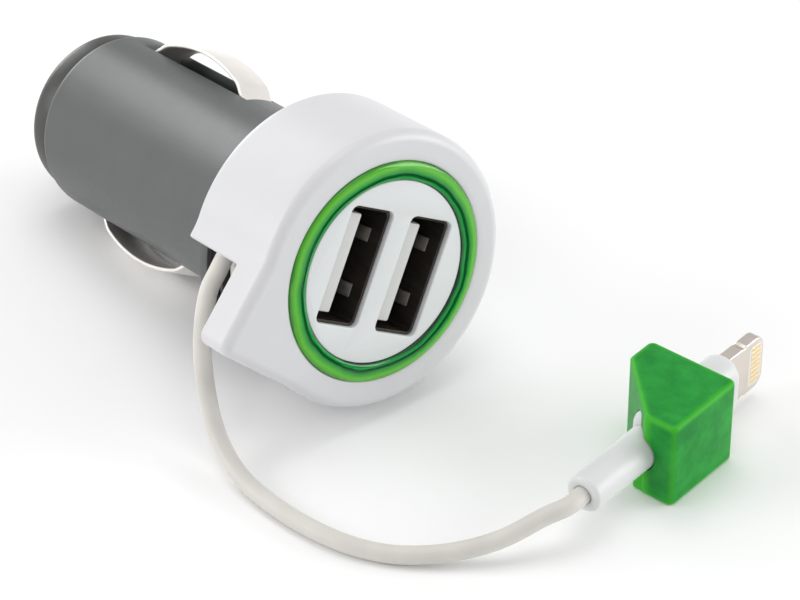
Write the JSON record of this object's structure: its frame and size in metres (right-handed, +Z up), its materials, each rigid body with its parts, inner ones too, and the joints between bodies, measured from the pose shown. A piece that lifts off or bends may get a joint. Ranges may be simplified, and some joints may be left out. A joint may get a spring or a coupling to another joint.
{
  "type": "car socket charger",
  "caption": "Charger for a car power socket with a ported front face, a light ring, side spring contacts and a short reel cord ending in a flat plug in a soft green tab.",
  "frame": {"origin": "on the table, below the middle of the charger body as it lies (cord and plug not counted)", "axes": "+Z up; the ported face looks along -Y, tilted a few degrees up; the tip contact points along +Y; the square corner of the housing is towards -X"},
  "size_m": [0.0549, 0.0908, 0.0329],
  "materials": {
    "housing_plastic": "smooth white, semi gloss",
    "light_ring_plastic": "clear green, polished",
    "face_plastic": "light grey, fine matt",
    "white_plastic": "white moulding",
    "port_steel": "nickel plated sheet",
    "tongue_plastic": "off-white moulding",
    "gold_plate": "gold plated",
    "board_laminate": "green circuit board",
    "led_resin": "clear cap over yellow die",
    "barrel_grey": "satin grey",
    "cap_grey": "darker satin grey",
    "tip_nickel": "nickel plated, turned",
    "spring_steel": "bright spring wire",
    "contact_nickel": "nickel plated spring sheet",
    "seat_brass": "stamped brass",
    "choke_black": "ferrite and enamelled winding",
    "can_sleeve": "dark blue sleeve",
    "chip_black": "moulded package",
    "drum_black": "black moulding",
    "cord_jacket": "white flexible jacket, slight gloss",
    "plug_white": "white moulding, semi gloss",
    "tongue_steel": "plated steel",
    "tab_silicone": "green silicone, soft sheen"
  },
  "bodies": {
    "body": {"housing": "housing_plastic", "light_ring": "light_ring_plastic", "face_plate": "face_plastic", "spindle": "white_plastic", "port_shell_left": "port_steel", "port_shell_right": "port_steel", "port_tongue_left": "tongue_plastic", "port_tongue_right": "tongue_plastic", "port_contacts": "gold_plate", "port_board": "board_laminate", "leds": "led_resin", "led_board": "board_laminate", "barrel": "barrel_grey", "end_cap": "cap_grey", "spring_seat": "seat_brass", "main_board": "board_laminate", "inductor": "choke_black", "input_capacitor": "can_sleeve", "output_capacitor": "can_sleeve", "converter_chip": "chip_black", "brushes": "seat_brass", "track_board": "board_laminate", "cord": "cord_jacket", "plug_boot": "plug_white", "plug_body": "plug_white", "plug_tongue": "tongue_steel", "plug_insert": "white_plastic", "plug_contacts": "gold_plate", "pull_tab": "tab_silicone"},
    "tip": {"tip_contact": "tip_nickel", "tip_spring": "spring_steel"},
    "upper_contact": {"side_contact_upper": "contact_nickel"},
    "lower_contact": {"side_contact_lower": "contact_nickel"},
    "reel": {"reel_drum": "drum_black", "wound_cord": "cord_jacket", "reel_spring": "spring_steel"}
  },
  "joints": [
    {"name": "tip_press", "type": "slide", "parent": "body", "child": "tip", "axis": [0, -0.9901, 0.1404], "range_m": [0, 0.0024], "stiffness_N_per_m": 900, "springref_m": -0.0012, "deforming": ["tip_spring"]},
    {"name": "upper_contact_press", "type": "hinge", "parent": "body", "child": "upper_contact", "pos_m": [0.00649, 0.02106, 0.01779], "axis": [0.8682, -0.0697, -0.4913], "range_deg": [0, 10], "stiffness_Nm_per_rad": 0.4, "springref_deg": -5.73},
    {"name": "lower_contact_press", "type": "hinge", "parent": "body", "child": "lower_contact", "pos_m": [-0.00184, 0.01901, 0.00337], "axis": [-0.8682, 0.0697, 0.4913], "range_deg": [0, 10], "stiffness_Nm_per_rad": 0.4, "springref_deg": -5.73},
    {"name": "reel_turn", "type": "hinge", "parent": "body", "child": "reel", "pos_m": [0.00233, -0.01761, 0.01591], "axis": [0, -0.9901, 0.1404], "range_deg": [-720, 620]}
  ]
}
